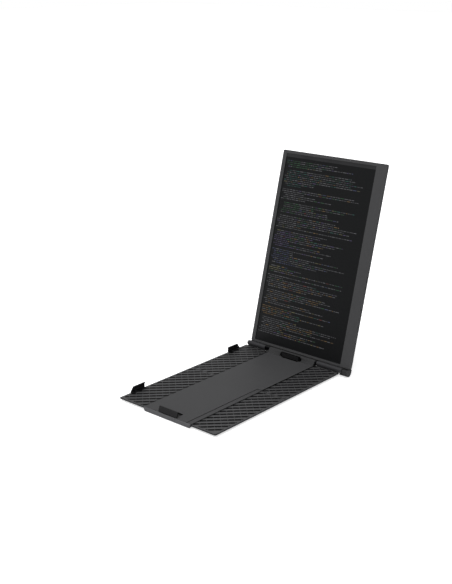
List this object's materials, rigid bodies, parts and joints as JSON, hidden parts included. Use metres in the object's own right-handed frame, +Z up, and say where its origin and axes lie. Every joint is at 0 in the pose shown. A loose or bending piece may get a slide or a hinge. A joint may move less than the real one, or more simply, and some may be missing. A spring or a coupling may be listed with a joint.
{
  "type": "portable monitor",
  "caption": "Portable monitor standing portrait on a friction hinge, on a long thin base with ribbed sliding wings, claw hooks and spring clips for a laptop lid.",
  "frame": {"origin": "on the table, under the middle of the base", "axes": "+X to the right of someone who looks at the screen, +Y from the front lip to the hinge, +Z up"},
  "size_m": [0.2716, 0.5011, 0.4239],
  "materials": {
    "plate": "fine matte",
    "ribbed": "satin ribs",
    "shell": "matte",
    "cap": "matte",
    "black": "matte",
    "clip": "matte",
    "cover": "fine matte",
    "bezel": "fine matte",
    "rubber": "matte",
    "steel": "brushed",
    "dark_steel": "blackened",
    "screw": "blackened",
    "bar": "satin",
    "glass": "matte anti-glare",
    "cell": "matte",
    "guide": "clear",
    "tray_metal": "bare",
    "led": "phosphor",
    "tape": "adhesive",
    "board": "solder mask",
    "chip": "moulded",
    "cable": "flexible film",
    "button": "matte"
  },
  "bodies": {
    "base": {"base_shell": "shell", "stiffener_plate": "steel", "spine_rails": "shell", "base_top_plate": "plate", "side_strip": "plate", "front_cap": "cap", "hinge_block": "plate", "left_hinge_leaf": "steel", "right_hinge_leaf": "steel", "hinge_screws": "screw", "left_hinge_shaft": "dark_steel", "right_hinge_shaft": "dark_steel", "friction_washers": "dark_steel", "base_screws": "screw", "grip_strip": "rubber", "rubber_feet": "rubber"},
    "left_wing": {"left_wing_tray": "shell", "left_front_panel": "ribbed", "left_rear_panel": "ribbed", "front_hook": "black", "rear_hook": "black", "front_hook_pad": "rubber", "rear_hook_pad": "rubber", "hook_screws": "screw"},
    "right_wing": {"right_wing_tray": "shell", "right_front_panel": "ribbed", "right_rear_panel": "ribbed"},
    "front_clip": {"front_clip": "clip", "front_clip_pad": "rubber", "front_clip_carriage": "black"},
    "rear_clip": {"rear_clip": "black", "rear_clip_pad": "rubber", "rear_clip_carriage": "black"},
    "screen": {"rear_cover": "cover", "front_bezel": "bezel", "cover_screws": "screw", "display_glass": "glass", "liquid_crystal_cell": "cell", "light_guide": "guide", "led_bar": "led", "backlight_tray": "tray_metal", "panel_tapes": "tape", "controller_board": "board", "board_chips": "chip", "panel_cable": "cable", "port_shells": "steel", "port_tongues": "black", "button_switches": "chip", "left_hinge_bar": "bar", "right_hinge_bar": "bar", "left_end_cap": "black", "hinge_beam": "black", "bearing_sleeve": "black", "hinge_ear": "bezel"},
    "power_button": {"power_button": "button"},
    "menu_rocker": {"menu_rocker": "button"}
  },
  "joints": [
    {"name": "screen_tilt", "type": "hinge", "parent": "base", "child": "screen", "pos_m": [0, 0.193, 0.0135], "axis": [-1, 0, 0], "range_deg": [-104.4, 75.6]},
    {"name": "left_wing_slide", "type": "slide", "parent": "base", "child": "left_wing", "axis": [1, 0, 0], "range_m": [0, 0.016]},
    {"name": "right_wing_slide", "type": "slide", "parent": "base", "child": "right_wing", "axis": [-1, 0, 0], "range_m": [0, 0.016]},
    {"name": "front_clip_slide", "type": "slide", "parent": "base", "child": "front_clip", "axis": [0, 1, 0], "range_m": [0, 0.018]},
    {"name": "rear_clip_slide", "type": "slide", "parent": "base", "child": "rear_clip", "axis": [0, -1, 0], "range_m": [0, 0.004]},
    {"name": "power_button_press", "type": "slide", "parent": "screen", "child": "power_button", "axis": [-1, 0, 0], "range_m": [0, 0.0005], "stiffness_N_per_m": 400, "springref_m": -0.0005},
    {"name": "menu_rocker_tip", "type": "hinge", "parent": "screen", "child": "menu_rocker", "pos_m": [0.1407, 0.24918, 0.1973], "axis": [0, -0.9686, 0.2487], "range_deg": [-3, 3], "stiffness_Nm_per_rad": 0.05}
  ]
}
